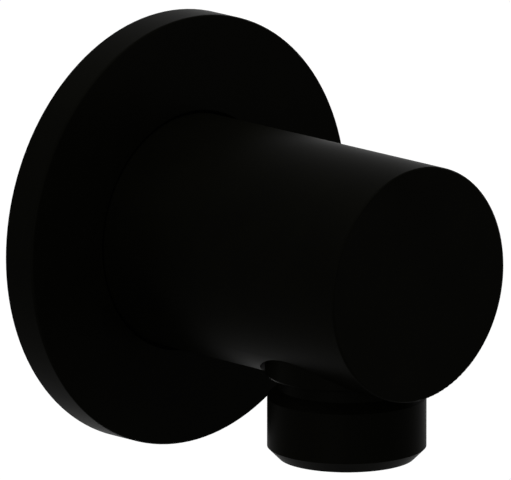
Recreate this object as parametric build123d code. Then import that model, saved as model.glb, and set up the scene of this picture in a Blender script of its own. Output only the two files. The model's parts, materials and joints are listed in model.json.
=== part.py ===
from build123d import *

import math
import os

# Wall outlet elbow for a shower hose: a round turned body on a sliding wall flange, with a screwed-in hose nipple
# that holds a spring-loaded non-return valve.
# The origin is on the body's axis, in the plane of the wall. +Y goes into the wall, so the body points along -Y,
# and the hose leaves along -Z. Sizes are in millimetres.

# Wall flange
FLANGE_DIAMETER = 57.6
FLANGE_THICKNESS = 5.0
FLANGE_EDGE_ROUND = 0.3
FLANGE_SLIDE_CLEARANCE = 0.12
FLANGE_MOUTH_CHAMFER = 0.35
FLANGE_RING_CORD = 1.5
GASKET_DEPTH = 2.0
GASKET_LIP = 2.6
GASKET_INNER_WALL = 1.6

# Elbow body
BODY_DIAMETER = 31.3
BODY_PROJECTION = 48.1
BODY_BACK_GAP = 0.6
BODY_EDGE_ROUND = 0.3
WATERWAY_DIAMETER = 10.0
DRILL_POINT_ANGLE = 118.0
OUTLET_SETBACK = 34.6
POCKET_CLEARANCE = 0.65
OUTLET_WEB = 1.2

# Pipe thread (G 1/2, 14 to the inch)
PIPE_THREAD_DIAMETER = 20.955
PIPE_THREAD_PITCH = 25.4 / 14
PIPE_THREAD_DEPTH = 1.162
PIPE_THREAD_ANGLE = 55.0

# Inlet nipple
INLET_THREAD_LENGTH = 13.0
INLET_THREAD_CHAMFER = 1.2
INLET_RELIEF_DIAMETER = 17.8
INLET_COLLAR_DIAMETER = 23.0
INLET_COLLAR_THICKNESS = 2.4
INLET_SPIGOT_DIAMETER = 18.0
INLET_SPIGOT_LENGTH = 11.0
INLET_RING_CORD = 1.5

# Hose nipple
OUTLET_DROP = 25.4
HOSE_THREAD_LENGTH = 8.15
HOSE_THREAD_CHAMFER = 1.5
HOSE_THREAD_LEAD_OUT = 1.25
HOSE_RELIEF_DIAMETER = 18.2
HOSE_RELIEF_WIDTH = 1.8
HOSE_SHOULDER_DIAMETER = 21.5
HOSE_SHOULDER_EDGE = 0.25
HOSE_SPIGOT_DIAMETER = 14.4
HOSE_SPIGOT_LENGTH = 3.8
HOSE_RING_CORD = 1.3
HOSE_RING_DROP = 1.9

# Non-return valve
VALVE_BORE_DIAMETER = 13.0
VALVE_LENGTH = 12.0
VALVE_RECESS = 1.0
CAGE_WALL = 1.4
CAGE_RING_CORD = 1.0
CAGE_RING_DROP = 3.6
SEAT_THICKNESS = 2.0
SEAT_STEP = 0.6
SEAT_HOLE_DIAMETER = 6.4
SEAL_THICKNESS = 0.6
SEAL_HOLE_DIAMETER = 4.2
HEAD_DIAMETER = 7.8
HEAD_THICKNESS = 1.4
NOSE_HEIGHT = 1.0
STEM_DIAMETER = 2.8
STEM_REACH = 1.4
HUB_DIAMETER = 5.2
HUB_LENGTH = 3.0
SPOKE_COUNT = 3
SPOKE_WIDTH = 1.2
SPRING_WIRE = 0.5
SPRING_TURNS = 4.0
SPRING_MEAN_DIAMETER = 4.0

# Clearances
SCREWED_CLEARANCE = 0.05
RING_CLEARANCE = 0.05
SEATING_CLEARANCE = 0.02
STEM_CLEARANCE = 0.06

# Radii and heights that follow from the sizes above
BODY_RADIUS = BODY_DIAMETER / 2
BODY_BACK = -BODY_BACK_GAP
BODY_FRONT = -BODY_PROJECTION
WATERWAY_RADIUS = WATERWAY_DIAMETER / 2
THREAD_RADIUS = PIPE_THREAD_DIAMETER / 2
OUTLET_AXIS = Pos(0, -OUTLET_SETBACK, 0)
SPIGOT_TOP = -(WATERWAY_RADIUS + OUTLET_WEB)
POCKET_CEILING = SPIGOT_TOP - HOSE_SPIGOT_LENGTH
SHOULDER_RADIUS = HOSE_SHOULDER_DIAMETER / 2
POCKET_RADIUS = SHOULDER_RADIUS + POCKET_CLEARANCE
VALVE_BOTTOM = -OUTLET_DROP + VALVE_RECESS
VALVE_TOP = VALVE_BOTTOM + VALVE_LENGTH
SEAT_BOTTOM = VALVE_TOP - SEAT_THICKNESS
SEAL_TOP = SEAT_BOTTOM - SEATING_CLEARANCE
HEAD_TOP = SEAL_TOP - SEAL_THICKNESS
HEAD_BOTTOM = HEAD_TOP - HEAD_THICKNESS
HUB_TOP = VALVE_BOTTOM + HUB_LENGTH
CAGE_RADIUS = VALVE_BORE_DIAMETER / 2 - SCREWED_CLEARANCE
CAGE_INNER_RADIUS = CAGE_RADIUS - CAGE_WALL


def turned_about_y(points):
    """A solid of revolution about the body's axis, from (radius, y) points."""
    return revolve(make_face(Polyline(*points, close=True)), Axis.Y)


def turned_about_z(points):
    """A solid of revolution about the hose axis, from (radius, z) points."""
    outline = make_face(Plane.XZ * Polyline(*points, close=True))
    return OUTLET_AXIS * revolve(outline, Axis.Z)


def ring_about_y(inner_radius, cord, y):
    """An O-ring of that cord diameter around the body's axis."""
    return Pos(0, y, 0) * Rot(90, 0, 0) * Torus(inner_radius + cord / 2, cord / 2)


def ring_about_z(inner_radius, cord, z):
    """An O-ring of that cord diameter around the hose axis."""
    return OUTLET_AXIS * Pos(0, 0, z) * Torus(inner_radius + cord / 2, cord / 2)


def circles_at(solid, radius, y):
    """The circular edges of that radius around the body's axis, at that y."""
    found = ShapeList()
    for edge in solid.edges().filter_by(GeomType.CIRCLE):
        if abs(edge.radius - radius) < 1e-4 and abs(edge.arc_center.Y - y) < 1e-4:
            found.append(edge)
    return found


def make_wall_flange():
    """The round cover disc, with a ring groove in its bore and a gasket recess in its back."""
    radius = FLANGE_DIAMETER / 2
    bore = BODY_RADIUS + FLANGE_SLIDE_CLEARANCE
    groove = BODY_RADIUS + 2 * RING_CLEARANCE + FLANGE_RING_CORD
    half_groove = FLANGE_RING_CORD / 2 + RING_CLEARANCE
    middle = -FLANGE_THICKNESS / 2
    recess_inner = groove + GASKET_INNER_WALL
    recess_outer = radius - GASKET_LIP
    solid = turned_about_y([
        (bore, 0),
        (recess_inner, 0),
        (recess_inner, -GASKET_DEPTH),
        (recess_outer, -GASKET_DEPTH),
        (recess_outer, 0),
        (radius, 0),
        (radius, -FLANGE_THICKNESS),
        (bore + FLANGE_MOUTH_CHAMFER, -FLANGE_THICKNESS),
        (bore, -FLANGE_THICKNESS + FLANGE_MOUTH_CHAMFER),
        (bore, middle - half_groove),
        (groove, middle - half_groove),
        (groove, middle + half_groove),
        (bore, middle + half_groove),
    ])
    return fillet(circles_at(solid, radius, -FLANGE_THICKNESS), FLANGE_EDGE_ROUND)


def make_flange_o_ring():
    """The ring in the flange's bore that grips the body."""
    return ring_about_y(BODY_RADIUS + RING_CLEARANCE, FLANGE_RING_CORD, -FLANGE_THICKNESS / 2)


def make_flange_gasket():
    """The foam ring that seals the flange's back against the wall."""
    groove = BODY_RADIUS + 2 * RING_CLEARANCE + FLANGE_RING_CORD
    inner = groove + GASKET_INNER_WALL + RING_CLEARANCE
    outer = FLANGE_DIAMETER / 2 - GASKET_LIP - RING_CLEARANCE
    return turned_about_y([(inner, 0), (outer, 0), (outer, -GASKET_DEPTH), (inner, -GASKET_DEPTH)])


def make_elbow_body():
    """The turned bar: inlet socket and waterway along Y, hose pocket and spigot hole along Z."""
    bar = turned_about_y([(0, BODY_BACK), (BODY_RADIUS, BODY_BACK), (BODY_RADIUS, BODY_FRONT), (0, BODY_FRONT)])
    bar = fillet(circles_at(bar, BODY_RADIUS, BODY_FRONT), BODY_EDGE_ROUND)
    collar = INLET_COLLAR_DIAMETER / 2 + SCREWED_CLEARANCE
    collar_floor = BODY_BACK - INLET_COLLAR_THICKNESS
    socket = INLET_SPIGOT_DIAMETER / 2 + SCREWED_CLEARANCE
    socket_floor = collar_floor - INLET_SPIGOT_LENGTH - SCREWED_CLEARANCE
    waterway_end = -(OUTLET_SETBACK + WATERWAY_RADIUS)
    drill_point = WATERWAY_RADIUS / math.tan(math.radians(DRILL_POINT_ANGLE / 2))
    inlet = turned_about_y([
        (0, BODY_BACK),
        (collar, BODY_BACK),
        (collar, collar_floor),
        (socket, collar_floor),
        (socket, socket_floor),
        (WATERWAY_RADIUS, socket_floor),
        (WATERWAY_RADIUS, waterway_end),
        (0, waterway_end - drill_point),
    ])
    spigot_hole = HOSE_SPIGOT_DIAMETER / 2 + SCREWED_CLEARANCE
    below = -BODY_DIAMETER
    outlet = turned_about_z([
        (0, 0),
        (WATERWAY_RADIUS, 0),
        (WATERWAY_RADIUS, SPIGOT_TOP),
        (spigot_hole, SPIGOT_TOP),
        (spigot_hole, POCKET_CEILING),
        (POCKET_RADIUS, POCKET_CEILING),
        (POCKET_RADIUS, below),
        (0, below),
    ])
    return bar - inlet - outlet


def thread_rings(top, bottom):
    """The (radius, y) points of the thread's section from top down to bottom, as rings one pitch apart."""
    flank = PIPE_THREAD_DEPTH * math.tan(math.radians(PIPE_THREAD_ANGLE / 2))
    flat = PIPE_THREAD_PITCH / 2 - flank
    root = THREAD_RADIUS - PIPE_THREAD_DEPTH
    points = [(THREAD_RADIUS, top)]
    for turn in range(int((top - bottom) / PIPE_THREAD_PITCH)):
        crest = top - turn * PIPE_THREAD_PITCH - flat
        points += [
            (THREAD_RADIUS, crest),
            (root, crest - flank),
            (root, crest - flank - flat),
            (THREAD_RADIUS, crest - 2 * flank - flat),
        ]
    points.append((THREAD_RADIUS, bottom))
    return points


def make_inlet_nipple():
    """The threaded tube that screws into the wall fitting, with its collar seated in the body's back."""
    collar_front = BODY_BACK - INLET_COLLAR_THICKNESS
    spigot = INLET_SPIGOT_DIAMETER / 2
    spigot_end = collar_front - INLET_SPIGOT_LENGTH
    groove_floor = spigot - INLET_RING_CORD + RING_CLEARANCE
    groove_middle = (collar_front + spigot_end) / 2
    half_groove = INLET_RING_CORD / 2 + RING_CLEARANCE
    return turned_about_y([
        (WATERWAY_RADIUS, INLET_THREAD_LENGTH),
        (THREAD_RADIUS - INLET_THREAD_CHAMFER, INLET_THREAD_LENGTH),
        *thread_rings(INLET_THREAD_LENGTH - INLET_THREAD_CHAMFER, 0),
        (INLET_RELIEF_DIAMETER / 2, 0),
        (INLET_RELIEF_DIAMETER / 2, BODY_BACK),
        (INLET_COLLAR_DIAMETER / 2, BODY_BACK),
        (INLET_COLLAR_DIAMETER / 2, collar_front),
        (spigot, collar_front),
        (spigot, groove_middle + half_groove),
        (groove_floor, groove_middle + half_groove),
        (groove_floor, groove_middle - half_groove),
        (spigot, groove_middle - half_groove),
        (spigot, spigot_end),
        (WATERWAY_RADIUS, spigot_end),
    ])


def make_inlet_o_ring():
    """The ring that seals the inlet nipple's spigot in the body."""
    inner = INLET_SPIGOT_DIAMETER / 2 - INLET_RING_CORD + RING_CLEARANCE
    middle = BODY_BACK - INLET_COLLAR_THICKNESS - INLET_SPIGOT_LENGTH / 2
    return ring_about_y(inner, INLET_RING_CORD, middle)


def make_hose_nipple():
    """The outlet tube: spigot in the body, shoulder in the pocket, relief groove, and the hose thread."""
    spigot = HOSE_SPIGOT_DIAMETER / 2
    relief = HOSE_RELIEF_DIAMETER / 2
    low = -OUTLET_DROP
    thread_top = low + HOSE_THREAD_LENGTH
    relief_bottom = thread_top + HOSE_THREAD_LEAD_OUT
    relief_top = relief_bottom + HOSE_RELIEF_WIDTH
    top = SPIGOT_TOP - SEATING_CLEARANCE
    groove_floor = spigot - HOSE_RING_CORD + RING_CLEARANCE
    groove_middle = SPIGOT_TOP - HOSE_RING_DROP
    half_groove = HOSE_RING_CORD / 2 + RING_CLEARANCE
    bore = WATERWAY_RADIUS
    return turned_about_z([
        (bore, top),
        (spigot, top),
        (spigot, groove_middle + half_groove),
        (groove_floor, groove_middle + half_groove),
        (groove_floor, groove_middle - half_groove),
        (spigot, groove_middle - half_groove),
        (spigot, POCKET_CEILING),
        (SHOULDER_RADIUS, POCKET_CEILING),
        (SHOULDER_RADIUS, relief_top + HOSE_SHOULDER_EDGE),
        (SHOULDER_RADIUS - HOSE_SHOULDER_EDGE, relief_top),
        (relief, relief_top),
        (relief, relief_bottom),
        (THREAD_RADIUS, thread_top),
        (THREAD_RADIUS, low + HOSE_THREAD_CHAMFER),
        (THREAD_RADIUS - HOSE_THREAD_CHAMFER, low),
        (VALVE_BORE_DIAMETER / 2, low),
        (VALVE_BORE_DIAMETER / 2, VALVE_TOP),
        (bore, VALVE_TOP),
    ])


def make_hose_o_ring():
    """The ring that seals the hose nipple's spigot in the body."""
    inner = HOSE_SPIGOT_DIAMETER / 2 - HOSE_RING_CORD + RING_CLEARANCE
    return ring_about_z(inner, HOSE_RING_CORD, SPIGOT_TOP - HOSE_RING_DROP)


def make_valve_cage():
    """The moulded valve housing: a tube with a ring groove outside, and a spoked hub that guides the stem."""
    step = CAGE_INNER_RADIUS + SEAT_STEP
    groove_floor = CAGE_RADIUS - CAGE_RING_CORD + RING_CLEARANCE
    groove_middle = VALVE_TOP - CAGE_RING_DROP
    half_groove = CAGE_RING_CORD / 2 + RING_CLEARANCE
    tube = turned_about_z([
        (step, VALVE_TOP),
        (CAGE_RADIUS, VALVE_TOP),
        (CAGE_RADIUS, groove_middle + half_groove),
        (groove_floor, groove_middle + half_groove),
        (groove_floor, groove_middle - half_groove),
        (CAGE_RADIUS, groove_middle - half_groove),
        (CAGE_RADIUS, VALVE_BOTTOM),
        (CAGE_INNER_RADIUS, VALVE_BOTTOM),
        (CAGE_INNER_RADIUS, SEAT_BOTTOM),
        (step, SEAT_BOTTOM),
    ])
    hub_middle = OUTLET_AXIS * Pos(0, 0, VALVE_BOTTOM + HUB_LENGTH / 2)
    spoke_length = CAGE_RADIUS - CAGE_WALL / 2
    hub = hub_middle * Cylinder(HUB_DIAMETER / 2, HUB_LENGTH)
    for number in range(SPOKE_COUNT):
        turn = Rot(0, 0, 360 * number / SPOKE_COUNT)
        hub += hub_middle * turn * Pos(spoke_length / 2, 0, 0) * Box(spoke_length, SPOKE_WIDTH, HUB_LENGTH)
    guide = hub_middle * Cylinder(STEM_DIAMETER / 2 + STEM_CLEARANCE, 2 * HUB_LENGTH)
    return tube + (hub - guide)


def make_valve_seat():
    """The ring that the valve closes against, pushed into the top of the cage."""
    outer = CAGE_INNER_RADIUS + SEAT_STEP - SCREWED_CLEARANCE
    hole = SEAT_HOLE_DIAMETER / 2
    return turned_about_z([(hole, VALVE_TOP), (outer, VALVE_TOP), (outer, SEAT_BOTTOM), (hole, SEAT_BOTTOM)])


def make_cage_o_ring():
    """The ring that seals the valve cage in the hose nipple."""
    inner = CAGE_RADIUS - CAGE_RING_CORD + RING_CLEARANCE
    return ring_about_z(inner, CAGE_RING_CORD, VALVE_TOP - CAGE_RING_DROP)


def make_valve_poppet():
    """The moving valve: a nose that holds the seal, a flat head and a guided stem."""
    nose = SEAL_HOLE_DIAMETER / 2 - SCREWED_CLEARANCE
    stem_end = HUB_TOP - HUB_LENGTH + STEM_REACH
    return turned_about_z([
        (0, SEAL_TOP + NOSE_HEIGHT),
        (nose / 2, SEAL_TOP + NOSE_HEIGHT),
        (nose, SEAL_TOP),
        (nose, HEAD_TOP),
        (HEAD_DIAMETER / 2, HEAD_TOP),
        (HEAD_DIAMETER / 2, HEAD_BOTTOM),
        (STEM_DIAMETER / 2, HEAD_BOTTOM),
        (STEM_DIAMETER / 2, stem_end),
        (0, stem_end),
    ])


def make_poppet_seal():
    """The flat rubber ring on the valve's head."""
    hole = SEAL_HOLE_DIAMETER / 2
    outer = HEAD_DIAMETER / 2
    return turned_about_z([(hole, SEAL_TOP), (outer, SEAL_TOP), (outer, HEAD_TOP), (hole, HEAD_TOP)])


def make_valve_spring():
    """The wire spring between the hub and the head, at its closed length."""
    low = HUB_TOP + SPRING_WIRE / 2 + SEATING_CLEARANCE
    high = HEAD_BOTTOM - SPRING_WIRE / 2 - SEATING_CLEARANCE
    radius = SPRING_MEAN_DIAMETER / 2
    coil = Helix((high - low) / SPRING_TURNS, high - low, radius)
    start = Plane(origin=coil @ 0, z_dir=coil % 0)
    wire = sweep(start * Circle(SPRING_WIRE / 2), path=coil)
    return OUTLET_AXIS * Pos(0, 0, low) * wire


PIECES = {
    "wall_flange": make_wall_flange,
    "flange_o_ring": make_flange_o_ring,
    "flange_gasket": make_flange_gasket,
    "elbow_body": make_elbow_body,
    "inlet_nipple": make_inlet_nipple,
    "inlet_o_ring": make_inlet_o_ring,
    "hose_nipple": make_hose_nipple,
    "hose_o_ring": make_hose_o_ring,
    "valve_cage": make_valve_cage,
    "valve_seat": make_valve_seat,
    "cage_o_ring": make_cage_o_ring,
    "valve_poppet": make_valve_poppet,
    "poppet_seal": make_poppet_seal,
    "valve_spring": make_valve_spring,
}


def main():
    """Writes one STEP file for each piece."""
    os.makedirs("parts", exist_ok=True)
    for name, make in PIECES.items():
        export_step(make(), f"parts/{name}.step")


main()
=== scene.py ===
# %% [markdown]
# # A matt black wall outlet elbow
# The water for a hand shower comes out of the wall here: a turned brass bar, coated black, with a disc that
# covers the hole in the wall and a nipple under it for the hose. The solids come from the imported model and
# keep their place. This lesson gives them their finishes, cuts the real thread on the inlet, presses the
# flange's ring against the body, winds the valve's spring, and sets the light and the camera.

# %% Load the solids
import json
import math

import bpy
import numpy as np
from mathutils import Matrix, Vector


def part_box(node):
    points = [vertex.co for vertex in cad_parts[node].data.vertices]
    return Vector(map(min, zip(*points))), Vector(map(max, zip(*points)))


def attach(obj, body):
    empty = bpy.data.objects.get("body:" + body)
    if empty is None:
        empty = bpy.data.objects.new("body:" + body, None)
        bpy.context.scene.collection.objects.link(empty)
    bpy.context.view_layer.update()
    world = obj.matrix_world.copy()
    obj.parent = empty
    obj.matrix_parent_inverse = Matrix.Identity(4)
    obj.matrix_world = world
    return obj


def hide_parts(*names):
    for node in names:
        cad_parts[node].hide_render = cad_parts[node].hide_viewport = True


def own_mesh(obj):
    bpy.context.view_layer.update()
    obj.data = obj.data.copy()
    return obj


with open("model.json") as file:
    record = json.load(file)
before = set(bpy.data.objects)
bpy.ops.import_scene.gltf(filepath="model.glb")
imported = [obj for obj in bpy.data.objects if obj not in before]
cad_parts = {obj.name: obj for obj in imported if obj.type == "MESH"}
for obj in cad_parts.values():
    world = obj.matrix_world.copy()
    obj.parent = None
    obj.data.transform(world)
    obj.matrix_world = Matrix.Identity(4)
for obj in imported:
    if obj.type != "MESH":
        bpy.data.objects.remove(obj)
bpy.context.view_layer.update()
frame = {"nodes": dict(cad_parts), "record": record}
MM = 0.001
print("solids:", sorted(frame["nodes"]))

# %% [markdown]
# ## Small tools for finishes
# A colour picked on a screen is an sRGB value, but the renderer counts in linear light, so one function turns
# the first into the second. Every finish below is a short chain of nodes, so one more function adds a node,
# sets it and links it. A socket's name starts with a capital, and a setting's name doesn't. Sockets that
# share a name are linked by their number.

# %% Colour and node helpers
WHITE = "#ffffff"


def linear(hex_colour):
    """Linear RGBA of an sRGB hex: c / 12.92 up to 0.04045, above it (c + 0.055) / 1.055 to the power 2.4."""
    channels = np.array([int(hex_colour[start:start + 2], 16) for start in (1, 3, 5)]) / 255
    curve = ((channels + 0.055) / 1.055) ** 2.4
    return (*np.where(channels <= 0.04045, channels / 12.92, curve).tolist(), 1.0)


def add_node(tree, kind, settings, links):
    """A new node with its settings and socket values, and its inputs linked to the given outputs."""
    node = tree.nodes.new(kind)
    for name, value in settings.items():
        if name in node.inputs:
            node.inputs[name].default_value = value
        else:
            setattr(node, name, value)
    for socket, output in links.items():
        tree.links.new(output, node.inputs[socket])
    return node


print("white in linear light:", linear(WHITE))

# %% [markdown]
# ## One recipe for all finishes
# Each finish could be wired by itself, but all of them follow one recipe, so it is written once. A pattern in
# the object's own coordinates blends two colours and two roughness values. The same pattern, or a second one,
# lifts and lowers the surface. Values that stay the same all over go on the shader itself.

# %% The recipe
DRIVEN_SOCKETS = ("Base Color", "Roughness", "Normal")


def new_finish(name, values):
    """A finish with constant values on its shader. Gives the material, its tree and Object coordinates."""
    material = bpy.data.materials.new(name)
    material.use_nodes = True
    tree = material.node_tree
    for socket, value in values.items():
        tree.nodes["Principled BSDF"].inputs[socket].default_value = value
    return material, tree, add_node(tree, "ShaderNodeTexCoord", {}, {}).outputs["Object"]


def finish_by_pattern(tree, pattern, colours, roughness, relief, height, strength):
    """Colour and roughness follow the pattern, and the height follows the relief. Gives the colour ramp."""
    colour = add_node(tree, "ShaderNodeValToRGB", {}, {"Fac": pattern})
    for stop, hex_colour in zip(colour.color_ramp.elements, colours):
        stop.color = linear(hex_colour)
    gloss = add_node(
        tree, "ShaderNodeMapRange", {"To Min": roughness[0], "To Max": roughness[1]}, {"Value": pattern})
    bump = add_node(tree, "ShaderNodeBump", {"Strength": strength, "Distance": height}, {"Height": relief})
    outputs = (colour.outputs["Color"], gloss.outputs["Result"], bump.outputs["Normal"])
    for socket, output in zip(DRIVEN_SOCKETS, outputs):
        tree.links.new(output, tree.nodes["Principled BSDF"].inputs[socket])
    return colour.color_ramp


print("each finish drives:", DRIVEN_SOCKETS)

# %% [markdown]
# ## Black coating on brass
# The body, the disc and the hose nipple are brass with a thin coat of matt black paint, sprayed and baked.
# The coat flows out almost smooth and keeps a faint orange-peel grain, so it takes soft, blurred highlights
# and no sharp reflections. One flat black would look like a hole in the picture, so the grain tilts the
# surface a little, and the gloss and the colour drift slowly over it. The picture shows the coat very dark,
# so its shine is set low.

# %% Black coating
COAT_GRAIN = 0.7 * MM
COAT_GRAIN_DETAIL = 2.0
COAT_GRAIN_HEIGHT = 0.004 * MM
COAT_GRAIN_STRENGTH = 0.5
COAT_DRIFT = 9.0 * MM
COAT_DRIFT_DETAIL = 3.0
COAT_ROUGHNESS = (0.34, 0.42)
COAT_SHINE = 0.005
COAT_COLOURS = ("#030302", "#060604")


def black_coating():
    """Sprayed and baked matt black paint over brass: deep black, low gloss, faint orange peel."""
    material, tree, place = new_finish("black_coated_brass", {"Specular IOR Level": COAT_SHINE})
    drift = add_node(
        tree, "ShaderNodeTexNoise", {"Scale": 1 / COAT_DRIFT, "Detail": COAT_DRIFT_DETAIL}, {"Vector": place})
    grain = add_node(
        tree, "ShaderNodeTexNoise", {"Scale": 1 / COAT_GRAIN, "Detail": COAT_GRAIN_DETAIL}, {"Vector": place})
    finish_by_pattern(
        tree, drift.outputs["Fac"], COAT_COLOURS, COAT_ROUGHNESS,
        relief=grain.outputs["Fac"], height=COAT_GRAIN_HEIGHT, strength=COAT_GRAIN_STRENGTH)
    return material


coating = black_coating()
print("finish:", coating.name)

# %% [markdown]
# ## Turned brass
# The inlet nipple goes into the wall and is never seen, so it is left as it came off the lathe. The tool
# leaves fine rings round the axis, and the metal is a little darker in places where it was handled. A wave
# along the axis gives the rings, and slow noise gives the tarnish. The wave texture repeats every pi / 10
# over its scale.

# %% Turned brass
TOOL_FEED = 0.35 * MM
TOOL_MARK_DEPTH = 0.006 * MM
TOOL_MARK_STRENGTH = 0.5
TARNISH_SIZE = 6.0 * MM
TARNISH_DETAIL = 5.0
TARNISH_SPREAD = (0.35, 0.6)
BRASS_COLOURS = ("#a97f3c", "#d8b45e")
BRASS_ROUGHNESS = (0.38, 0.24)


def turned_brass():
    """Bare brass from the lathe: yellow metal with rings about 1/3 mm apart, drawn coarse to show."""
    material, tree, place = new_finish("turned_brass", {"Metallic": 1.0})
    tarnish = add_node(
        tree, "ShaderNodeTexNoise", {"Scale": 1 / TARNISH_SIZE, "Detail": TARNISH_DETAIL}, {"Vector": place})
    wave_scale = math.pi / (10 * TOOL_FEED)
    rings = add_node(
        tree, "ShaderNodeTexWave", {"bands_direction": "Y", "Scale": wave_scale}, {"Vector": place})
    ramp = finish_by_pattern(
        tree, tarnish.outputs["Fac"], BRASS_COLOURS, BRASS_ROUGHNESS,
        relief=rings.outputs["Fac"], height=TOOL_MARK_DEPTH, strength=TOOL_MARK_STRENGTH)
    ramp.elements[0].position = TARNISH_SPREAD[0]
    ramp.elements[1].position = TARNISH_SPREAD[1]
    return material


brass = turned_brass()
print("finish:", brass.name)

# %% [markdown]
# ## Rubber, foam, plastic and wire
# The seals are moulded nitrile rubber, dull with a fine bloom. The gasket is cut from closed-cell foam, so
# its face shows open cells. The valve is moulded acetal, a milky white plastic with a soft sheen. The spring
# is drawn stainless wire. In each, one noise or cell pattern at the material's own scale drives everything.

# %% Seals, gasket, valve and wire
RUBBER_BLOOM = 1.2 * MM
FOAM_CELL = 0.8 * MM
ACETAL_CLOUD = 3.0 * MM
WIRE_STREAK = 0.15 * MM
PATTERN_STRENGTH = 0.4


def patterned(name, pattern, size, colours, roughness, height, values):
    """A finish whose one pattern of that size drives colour, roughness and height."""
    material, tree, place = new_finish(name, values)
    cells = add_node(tree, pattern, {"Scale": 1 / size}, {"Vector": place}).outputs[0]
    finish_by_pattern(
        tree, cells, colours, roughness, relief=cells, height=height, strength=PATTERN_STRENGTH)
    return material


rubber = patterned(
    "moulded_nitrile_rubber", "ShaderNodeTexNoise", RUBBER_BLOOM, colours=("#101010", "#1d1d1e"),
    roughness=(0.5, 0.7), height=0.005 * MM, values={})
foam = patterned(
    "cut_closed_cell_foam", "ShaderNodeTexVoronoi", FOAM_CELL, colours=("#1c1c1e", "#3a3a3d"),
    roughness=(0.85, 0.98), height=0.12 * MM, values={"Specular IOR Level": 0.2})
acetal = patterned(
    "moulded_acetal", "ShaderNodeTexNoise", ACETAL_CLOUD, colours=("#dcdad1", "#efeee8"),
    roughness=(0.34, 0.46), height=0.004 * MM, values={})
wire = patterned(
    "drawn_stainless_wire", "ShaderNodeTexNoise", WIRE_STREAK, colours=("#a4a7ab", "#cfd2d6"),
    roughness=(0.22, 0.36), height=0.003 * MM, values={"Metallic": 1.0})
print("finishes:", [finish.name for finish in (rubber, foam, acetal, wire)])

# %% [markdown]
# ## Finish every solid
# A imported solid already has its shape, so it only needs its finish in its material slot.

# %% Give each solid its finish
SOLID_FINISH = {
    "black_coating": coating,
    "bare_brass": brass,
    "ring_rubber": rubber,
    "gasket_foam": foam,
    "valve_plastic": acetal,
    "spring_steel": wire,
}
for part in frame["record"]["subparts"]:
    solid = frame["nodes"][part["node"]]
    solid.data.materials.clear()
    solid.data.materials.append(SOLID_FINISH[part["material_slot"]])

# %% [markdown]
# ## Surfaces from a grid
# A turned or wound piece is one closed strip of quads: one direction of the grid follows its section and the
# other its path. Working the points out as whole arrays keeps the shape in one formula. If the sum of the
# corner volumes comes out negative, the strip faces inwards, and its quads are turned over.


# %% Make a closed mesh from a grid
def quads_of(rows, columns, closed_rows):
    """The corner numbers of each quad of a grid whose columns close up, and its rows too if asked."""
    row = np.arange(rows if closed_rows else rows - 1)[:, None]
    column = np.arange(columns)[None, :]
    next_row = (row + 1) % rows
    next_column = (column + 1) % columns
    corners = [
        row * columns + column,
        row * columns + next_column,
        next_row * columns + next_column,
        next_row * columns + column,
    ]
    return np.stack([corner.reshape(-1) for corner in np.broadcast_arrays(*corners)], axis=1)


def mesh_piece(name, points, closed_rows, finish, crease_degrees):
    """A closed mesh from a grid of points, with a flat cap at each end of open rows. Creases stay sharp."""
    rows, columns = points.shape[:2]
    corners = points.reshape(-1, 3)
    quads = quads_of(rows, columns, closed_rows)
    faces = quads.tolist()
    if not closed_rows:
        faces.append(list(range(columns)))
        faces.append(list(range(rows * columns - 1, (rows - 1) * columns - 1, -1)))
    centred = corners - corners.mean(axis=0)
    first, second, fourth = (centred[quads[:, number]] for number in (0, 1, 3))
    if (first * np.cross(second - first, fourth - first)).sum() < 0:
        faces = [face[::-1] for face in faces]
    mesh = bpy.data.meshes.new(name)
    mesh.from_pydata(corners.tolist(), [], faces)
    mesh.shade_smooth()
    mesh.set_sharp_from_angle(angle=math.radians(crease_degrees))
    mesh.materials.append(finish)
    piece = bpy.data.objects.new(name, mesh)
    bpy.context.scene.collection.objects.link(piece)
    return piece


print("a grid of 3 rows and 4 columns has", len(quads_of(3, 4, False)), "quads")

# %% [markdown]
# ## The inlet thread
# The nipple screws into the pipe in the wall with a half-inch pipe thread: 14 turns to the inch, with rounded
# crests and roots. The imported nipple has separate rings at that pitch, which don't screw in, so the true
# helix is cut here. Its radius is the same formula all the way round, with the phase moving by one pitch a
# turn.

# %% Cut the inlet thread
FULL_TURN = 2 * math.pi
THREAD_PITCH = 25.4 / 14 * MM
THREAD_DEPTH = 0.640327 * THREAD_PITCH
THREAD_COLUMNS = 160
THREAD_ROWS = 130
THREAD_CREASE_DEGREES = 50
LEAD_CHAMFER = 1.2 * MM
WATERWAY_RADIUS = 5.0 * MM
RELIEF_RADIUS = 8.9 * MM
RELIEF_WIDTH = 0.6 * MM
COLLAR_RADIUS = 11.5 * MM
COLLAR_FRONT = -3.0 * MM
SPIGOT_RADIUS = 9.0 * MM
RING_GROOVE_RADIUS = 7.55 * MM
RING_GROOVE_HALF_WIDTH = 0.8 * MM

mounts = {mount["name"]: mount for mount in frame["record"]["mounts"]}
thread_radius = mounts["inlet_thread"]["dims"]["r_mm"] * MM
nipple_low, nipple_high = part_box("inlet_nipple")


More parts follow.
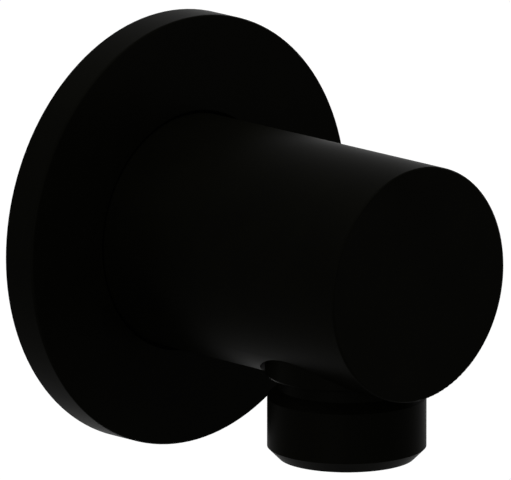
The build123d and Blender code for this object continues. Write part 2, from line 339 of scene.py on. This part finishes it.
def threaded_nipple():
    """The nipple's section carried round the Y axis. On the thread, the radius is the crest's less the depth
    times a smoothed triangle wave of the phase y / pitch - angle / turn, and at most the lead cone's."""
    angle = np.linspace(0, FULL_TURN, THREAD_COLUMNS, endpoint=False)
    thread_y = np.linspace(nipple_high.y, 0, THREAD_ROWS)[:, None]
    phase = thread_y / THREAD_PITCH - angle[None, :] / FULL_TURN
    wave = np.abs(2 * (phase % 1) - 1)
    cut = wave * wave * (3 - 2 * wave)
    cone = thread_radius - LEAD_CHAMFER + (nipple_high.y - thread_y)
    thread = np.minimum(thread_radius - THREAD_DEPTH * cut, cone)
    groove = (COLLAR_FRONT + nipple_low.y) / 2
    mouth = np.array([(WATERWAY_RADIUS, nipple_high.y)])
    plain = np.array([
        (RELIEF_RADIUS, 0),
        (RELIEF_RADIUS, -RELIEF_WIDTH),
        (COLLAR_RADIUS, -RELIEF_WIDTH),
        (COLLAR_RADIUS, COLLAR_FRONT),
        (SPIGOT_RADIUS, COLLAR_FRONT),
        (SPIGOT_RADIUS, groove + RING_GROOVE_HALF_WIDTH),
        (RING_GROOVE_RADIUS, groove + RING_GROOVE_HALF_WIDTH),
        (RING_GROOVE_RADIUS, groove - RING_GROOVE_HALF_WIDTH),
        (SPIGOT_RADIUS, groove - RING_GROOVE_HALF_WIDTH),
        (SPIGOT_RADIUS, nipple_low.y),
        (WATERWAY_RADIUS, nipple_low.y),
    ])
    even = np.ones((1, THREAD_COLUMNS))
    radius = np.vstack([mouth[:, :1] * even, thread, plain[:, :1] * even])
    along = np.vstack([mouth[:, 1:] * even, thread_y * even, plain[:, 1:] * even])
    return np.stack([radius * np.sin(angle), along, radius * np.cos(angle)], axis=2)


nipple = mesh_piece("threaded_inlet_nipple", threaded_nipple(), True, brass, THREAD_CREASE_DEGREES)
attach(nipple, "fitting")
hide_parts("inlet_nipple")
print("thread turns:", round(nipple_high.y / THREAD_PITCH, 2), "faces:", len(nipple.data.polygons))

# %% [markdown]
# ## The ring in the flange
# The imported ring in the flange's bore lies a hair clear of the body, and light would slip past it. A real
# ring is pressed against the body and its groove, so its section is drawn that much larger here.

# %% Press the ring against the body
RING_PRESS = 0.045 * MM
RING_COLUMNS = 180
RING_ROWS = 24
SOFT_CREASE_DEGREES = 60

ring_low, ring_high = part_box("flange_o_ring")


def pressed_ring():
    """A circle carried round the Y axis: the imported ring's section, with the press added to its radius."""
    packed = (ring_high.y - ring_low.y) / 2
    section = np.linspace(0, FULL_TURN, RING_ROWS, endpoint=False)[:, None]
    angle = np.linspace(0, FULL_TURN, RING_COLUMNS, endpoint=False)[None, :]
    radius = ring_high.x - packed + (packed + RING_PRESS) * np.cos(section)
    along = (ring_low.y + ring_high.y) / 2 + (packed + RING_PRESS) * np.sin(section)
    return np.stack(np.broadcast_arrays(radius * np.sin(angle), along, radius * np.cos(angle)), axis=2)


ring = mesh_piece("pressed_flange_ring", pressed_ring(), True, rubber, SOFT_CREASE_DEGREES)
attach(ring, "cover")
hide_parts("flange_o_ring")
print("ring across in mm:", round(ring.dimensions.x / MM, 2))

# %% [markdown]
# ## The valve's spring
# A compression spring ends in a closed turn at each end, so that it sits flat. Its line is a circle that
#  climbs by just the wire's thickness a turn over the closed ends, and evenly by more between them. As the
#  valve opens, the spring shortens towards the hub that carries it.

# %% Wind the spring
SPRING_TURNS = 5.5
SPRING_CLOSED_TURNS = 0.9
SPRING_STEPS_PER_TURN = 40
WIRE_RADIUS = 0.25 * MM
WIRE_COLUMNS = 14

spring_low, spring_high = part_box("valve_spring")
spring_centre = (spring_low + spring_high) / 2


def wound_spring():
    """A circle of wire carried along a helix. Its height is a line of the turns, bent where an end closes."""
    turns = np.linspace(0, SPRING_TURNS, int(SPRING_TURNS * SPRING_STEPS_PER_TURN) + 1)
    bottom = spring_low.z + WIRE_RADIUS
    top = spring_high.z - WIRE_RADIUS
    end_rise = 2 * WIRE_RADIUS * SPRING_CLOSED_TURNS
    bends = [0, SPRING_CLOSED_TURNS, SPRING_TURNS - SPRING_CLOSED_TURNS, SPRING_TURNS]
    height = np.interp(turns, bends, [bottom, bottom + end_rise, top - end_rise, top])
    angle = FULL_TURN * turns
    outward = np.stack([np.cos(angle), np.sin(angle), np.zeros_like(angle)], axis=1)
    coil_radius = (spring_high.x - spring_low.x) / 2 - WIRE_RADIUS
    line = coil_radius * outward
    line[:, 0] += spring_centre.x
    line[:, 1] += spring_centre.y
    line[:, 2] = height
    ahead = np.gradient(line, axis=0)
    ahead /= np.linalg.norm(ahead, axis=1)[:, None]
    upward = np.cross(ahead, outward)
    turn = np.linspace(0, FULL_TURN, WIRE_COLUMNS, endpoint=False)[None, :, None]
    circle = np.cos(turn) * outward[:, None, :] + np.sin(turn) * upward[:, None, :]
    return line[:, None, :] + WIRE_RADIUS * circle


spring = mesh_piece("wound_valve_spring", wound_spring(), False, wire, SOFT_CREASE_DEGREES)
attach(spring, "fitting")
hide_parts("valve_spring")
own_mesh(spring)

# %% [markdown]
# ## Camera
# The picture was taken from the left and a little above, from far away, so the edges stay almost parallel.
# The wall centre's place in the picture and the picture's scale fix where the camera looks, with no lens
# shift.

# %% Place the camera
PICTURE_WIDTH = 511
PICTURE_HEIGHT = 480
WALL_CENTRE_PIXEL = (164.6, 223.75)
PIXELS_PER_METRE = 7560.0
CAMERA_AZIMUTH = math.radians(-43.92)
CAMERA_ELEVATION = math.radians(13.42)
CAMERA_DISTANCE = 2.482
CAMERA_REACH = 100

backward = Vector((
    math.sin(CAMERA_AZIMUTH) * math.cos(CAMERA_ELEVATION),
    -math.cos(CAMERA_AZIMUTH) * math.cos(CAMERA_ELEVATION),
    math.sin(CAMERA_ELEVATION),
))
rightward = Vector((math.cos(CAMERA_AZIMUTH), math.sin(CAMERA_AZIMUTH), 0))
upward = backward.cross(rightward)
aim = rightward * (PICTURE_WIDTH / 2 - WALL_CENTRE_PIXEL[0]) / PIXELS_PER_METRE
aim -= upward * (PICTURE_HEIGHT / 2 - WALL_CENTRE_PIXEL[1]) / PIXELS_PER_METRE

camera_data = bpy.data.cameras.new("camera")
camera_data.lens = camera_data.sensor_width * PIXELS_PER_METRE * CAMERA_DISTANCE / PICTURE_WIDTH
camera_data.clip_end = CAMERA_REACH
camera = bpy.data.objects.new("camera", camera_data)
camera.location = aim + backward * CAMERA_DISTANCE
camera.rotation_mode = "QUATERNION"
camera.rotation_quaternion = (-backward).to_track_quat("-Z", "Y")
bpy.context.scene.collection.objects.link(camera)
bpy.context.scene.camera = camera
print("lens in mm:", round(camera_data.lens))

# %% [markdown]
# ## Background and floor
# The elbow hangs in the air as it would on a wall, over a pale floor that catches its shadow. The background
# is white to the eye and in reflections, through the light path, while the light that falls on the elbow
# stays at a plain level. The pale bands along the round body are mostly that white, mirrored at a low angle.

# %% Set the background and the floor
AMBIENT_STRENGTH = 0.6
FLOOR_HEIGHT = -0.35
FLOOR_SIZE = 30.0
FLOOR_GREY = "#8f8f8f"
FLOOR_LIFT = 0.85


def seen_directly(tree):
    """1 for rays from the eye, mirror reflections and glass, and 0 for light that a surface scatters."""
    path = add_node(tree, "ShaderNodeLightPath", {}, {}).outputs
    seen = path["Is Camera Ray"]
    for ray in ("Is Glossy Ray", "Is Transmission Ray"):
        seen = add_node(tree, "ShaderNodeMath", {"operation": "MAXIMUM"}, {0: seen, 1: path[ray]}).outputs[0]
    return seen


def white_background():
    """A world that is white where it is seen, and a plain grey sky for the light that falls on the elbow."""
    world = bpy.data.worlds.new("studio")
    world.use_nodes = True
    bpy.context.scene.world = world
    tree = world.node_tree
    sky = add_node(tree, "ShaderNodeBackground", {"Color": linear(WHITE), "Strength": AMBIENT_STRENGTH}, {})
    white = add_node(tree, "ShaderNodeBackground", {"Color": linear(WHITE)}, {})
    shaders = {"Fac": seen_directly(tree), 1: sky.outputs[0], 2: white.outputs[0]}
    both = add_node(tree, "ShaderNodeMixShader", {}, shaders)
    tree.links.new(both.outputs[0], tree.nodes["World Output"].inputs["Surface"])


def floor_finish():
    """Matt grey, lifted to white where it is seen and nothing shades it."""
    material = bpy.data.materials.new("pale_studio_floor")
    material.use_nodes = True
    tree = material.node_tree
    tree.nodes.remove(tree.nodes["Principled BSDF"])
    matt = add_node(tree, "ShaderNodeBsdfDiffuse", {"Color": linear(FLOOR_GREY)}, {})
    lifted = add_node(tree, "ShaderNodeMath", {"operation": "MULTIPLY"}, {0: seen_directly(tree)})
    lifted.inputs[1].default_value = FLOOR_LIFT
    glow = add_node(tree, "ShaderNodeEmission", {}, {"Strength": lifted.outputs[0]})
    both = add_node(tree, "ShaderNodeAddShader", {}, {0: matt.outputs[0], 1: glow.outputs[0]})
    tree.links.new(both.outputs[0], tree.nodes["Material Output"].inputs["Surface"])
    return material


def pale_floor():
    """A large flat square under the elbow."""
    half = FLOOR_SIZE / 2
    corners = [
        (-half, -half, FLOOR_HEIGHT),
        (half, -half, FLOOR_HEIGHT),
        (half, half, FLOOR_HEIGHT),
        (-half, half, FLOOR_HEIGHT),
    ]
    mesh = bpy.data.meshes.new("floor")
    mesh.from_pydata(corners, [], [(0, 1, 2, 3)])
    mesh.materials.append(floor_finish())
    floor = bpy.data.objects.new("floor", mesh)
    bpy.context.scene.collection.objects.link(floor)


white_background()
pale_floor()
bpy.context.scene.view_settings.view_transform = "Standard"
print("floor at", FLOOR_HEIGHT, "m")

# %% [markdown]
# ## Lamps
# Two soft lamps, above and at the left, add a little light to the faces that look that way. Small lamps would
# leave hard spots on the coat, so these are wide. Each points at the middle of the wall disc. Places and
# sizes are in metres.

# %% Hang the lamps
LAMPS = {
    "top_softbox": {"place": (-0.2, -0.3, 1.1), "size": 0.8, "watts": 8},
    "left_softbox": {"place": (-1.0, -0.5, 0.1), "size": 0.6, "watts": 4},
}


def soft_lamp(name, place, size, watts):
    """A square lamp of that size that looks at the elbow."""
    data = bpy.data.lights.new(name, "AREA")
    data.size = size
    data.energy = watts
    lamp = bpy.data.objects.new(name, data)
    lamp.location = place
    lamp.rotation_mode = "QUATERNION"
    lamp.rotation_quaternion = (-Vector(place)).to_track_quat("-Z", "Y")
    bpy.context.scene.collection.objects.link(lamp)


for lamp_name, lamp_values in LAMPS.items():
    soft_lamp(lamp_name, **lamp_values)
